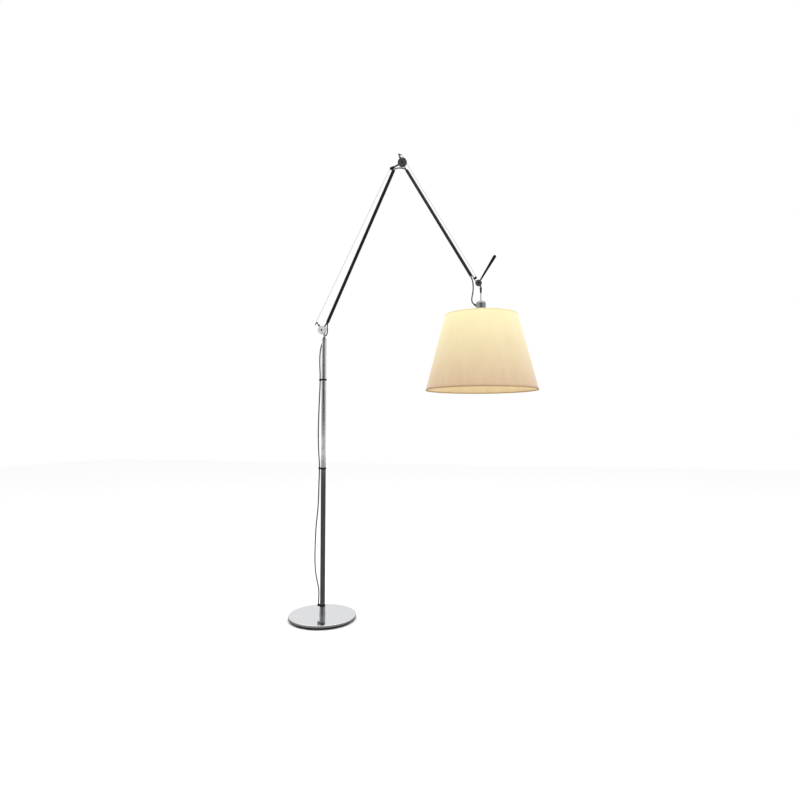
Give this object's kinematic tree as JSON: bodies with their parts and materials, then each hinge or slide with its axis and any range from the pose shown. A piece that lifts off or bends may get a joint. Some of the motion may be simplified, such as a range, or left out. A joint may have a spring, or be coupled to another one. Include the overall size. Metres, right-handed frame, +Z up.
{
  "type": "adjustable arm floor lamp",
  "caption": "Floor lamp with a swivelling spring-balanced folding arm, a handle and a tapered hanging shade on a heavy round base.",
  "frame": {"origin": "centre of the underside of the round base, on the stem's axis", "axes": "+Z up along the stem, +X from the stem towards the shade, in the plane of the arms; the arms' fronts face -Y"},
  "size_m": [1.2118, 0.5216, 2.2891],
  "materials": {
    "base_pad": "matte rubber",
    "base_weight": "black satin paint",
    "base_cover": "polished",
    "base_inlet": "matte rubber",
    "stem_bolt": "zinc plated",
    "foot_collar": "dark polished",
    "foot_gland": "matte rubber",
    "stem_tube_lower": "polished",
    "stem_tube_upper": "polished",
    "stem_joiner": "turned",
    "stem_clip_lower": "matte rubber",
    "stem_clip_upper": "matte rubber",
    "stem_bush": "turned",
    "stem_cord": "grey sheath",
    "swivel_pin": "turned",
    "cord_guide": "black",
    "shoulder_plate": "satin",
    "shoulder_lever": "satin",
    "swivel_cord": "grey sheath",
    "shoulder_cheek_front": "polished",
    "shoulder_cheek_back": "polished",
    "shoulder_rivet": "dark",
    "lower_fork": "satin",
    "lower_arm_tube": "dark polished",
    "lower_spring": "spring wire",
    "lower_knuckle": "black",
    "lower_roller": "black",
    "lower_balance_wire": "stranded wire",
    "elbow_plate": "dark satin",
    "elbow_lever": "dark satin",
    "shoulder_cord": "grey sheath",
    "elbow_cheek_front": "dark satin",
    "elbow_cheek_back": "dark satin",
    "elbow_rivet": "dark",
    "upper_fork": "satin",
    "upper_arm_tube": "dark polished",
    "upper_spring": "spring wire",
    "wrist_fork": "satin",
    "upper_roller": "black",
    "upper_balance_wire": "stranded wire",
    "wrist_cheek_front": "polished",
    "wrist_cheek_back": "polished",
    "wrist_rivet": "dark",
    "elbow_cord": "grey sheath",
    "head_plate": "satin",
    "handle_grip": "black",
    "hanger_collar": "polished",
    "hanger_sleeve": "black",
    "hanger_rod": "polished",
    "dome_cap": "satin",
    "cord_relief": "black",
    "lampholder": "white",
    "shade_ring": "white",
    "bulb_cap": "rolled thread",
    "bulb_glass": "opal",
    "head_cord": "grey sheath",
    "shade_carrier": "white lacquer",
    "shade_wall": "parchment",
    "shade_top_trim": "edge tape",
    "shade_foot_trim": "edge tape"
  },
  "bodies": {
    "stand": {"base_pad": "base_pad", "base_weight": "base_weight", "base_cover": "base_cover", "base_inlet": "base_inlet", "stem_bolt": "stem_bolt", "foot_collar": "foot_collar", "foot_gland": "foot_gland", "stem_tube_lower": "stem_tube_lower", "stem_tube_upper": "stem_tube_upper", "stem_joiner": "stem_joiner", "stem_clip_lower": "stem_clip_lower", "stem_clip_upper": "stem_clip_upper", "stem_bush": "stem_bush", "stem_cord": "stem_cord"},
    "swivel": {"swivel_pin": "swivel_pin", "cord_guide": "cord_guide", "shoulder_plate": "shoulder_plate", "shoulder_lever": "shoulder_lever", "swivel_cord": "swivel_cord"},
    "lower_arm": {"shoulder_cheek_front": "shoulder_cheek_front", "shoulder_cheek_back": "shoulder_cheek_back", "shoulder_rivet": "shoulder_rivet", "lower_fork": "lower_fork", "lower_arm_tube": "lower_arm_tube", "lower_spring": "lower_spring", "lower_knuckle": "lower_knuckle", "lower_roller": "lower_roller", "lower_balance_wire": "lower_balance_wire", "elbow_plate": "elbow_plate", "elbow_lever": "elbow_lever", "shoulder_cord": "shoulder_cord"},
    "upper_arm": {"elbow_cheek_front": "elbow_cheek_front", "elbow_cheek_back": "elbow_cheek_back", "elbow_rivet": "elbow_rivet", "upper_fork": "upper_fork", "upper_arm_tube": "upper_arm_tube", "upper_spring": "upper_spring", "wrist_fork": "wrist_fork", "upper_roller": "upper_roller", "upper_balance_wire": "upper_balance_wire", "wrist_cheek_front": "wrist_cheek_front", "wrist_cheek_back": "wrist_cheek_back", "wrist_rivet": "wrist_rivet", "elbow_cord": "elbow_cord"},
    "head": {"head_plate": "head_plate", "handle_grip": "handle_grip", "hanger_collar": "hanger_collar", "hanger_sleeve": "hanger_sleeve", "hanger_rod": "hanger_rod", "dome_cap": "dome_cap", "cord_relief": "cord_relief", "lampholder": "lampholder", "shade_ring": "shade_ring", "bulb_cap": "bulb_cap", "bulb_glass": "bulb_glass", "head_cord": "head_cord"},
    "shade": {"shade_carrier": "shade_carrier", "shade_wall": "shade_wall", "shade_top_trim": "shade_top_trim", "shade_foot_trim": "shade_foot_trim"}
  },
  "joints": [
    {"name": "swivel_turn", "type": "hinge", "parent": "stand", "child": "swivel", "pos_m": [0, 0, 1.377], "axis": [0, 0, 1], "range_deg": [-170, 170], "deforming": ["swivel_cord"]},
    {"name": "lower_arm_tilt", "type": "hinge", "parent": "swivel", "child": "lower_arm", "pos_m": [-0.012, 0, 1.428], "axis": [0, 1, 0], "range_deg": [-28, 40], "deforming": ["lower_balance_wire", "shoulder_cord"]},
    {"name": "upper_arm_tilt", "type": "hinge", "parent": "lower_arm", "child": "upper_arm", "pos_m": [0.40548, 0, 2.24188], "axis": [0, 1, 0], "range_deg": [-50, 12], "deforming": ["upper_balance_wire", "elbow_cord"]},
    {"name": "head_tilt", "type": "hinge", "parent": "upper_arm", "child": "head", "pos_m": [0.77597, 0, 1.6157], "axis": [0, 1, 0], "range_deg": [-34, 40], "deforming": ["head_cord"]},
    {"name": "shade_turn", "type": "hinge", "parent": "head", "child": "shade", "pos_m": [0.78597, 0, 1.4637], "axis": [0, 0, 1], "continuous": true}
  ]
}
